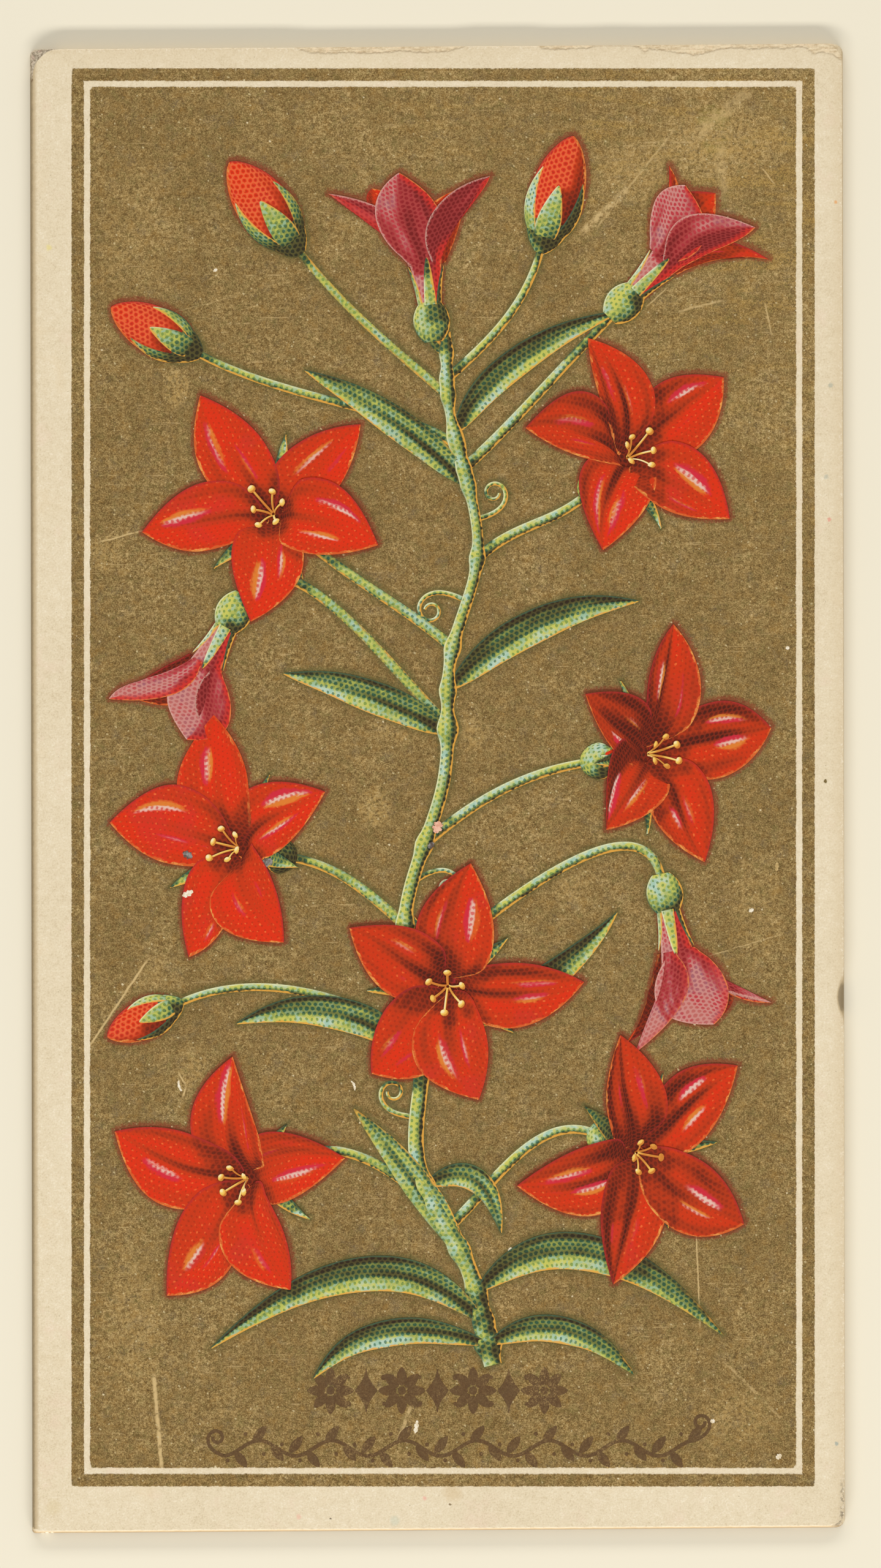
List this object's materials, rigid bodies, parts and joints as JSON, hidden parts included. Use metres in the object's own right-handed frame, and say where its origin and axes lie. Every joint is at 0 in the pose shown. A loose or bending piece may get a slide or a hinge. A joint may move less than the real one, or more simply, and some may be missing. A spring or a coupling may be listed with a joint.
{
  "type": "printed collector card",
  "caption": "Small upright rectangle of stiff pasteboard with a printed face, rubbed corners and a flaked top edge, for collecting or mounting on a page.",
  "frame": {"origin": "centre of the card's flat back, on the surface it lies on", "axes": "+X to the right edge and +Y to the top edge of the printed face, +Z out of that face"},
  "size_m": [0.0382, 0.07, 0.0006],
  "materials": {
    "pasteboard": "matte",
    "gold_ink": "satin",
    "red_ink": "matte",
    "green_ink": "matte",
    "brown_ink": "matte"
  },
  "bodies": {
    "root": {"card": "pasteboard"}
  },
  "joints": []
}
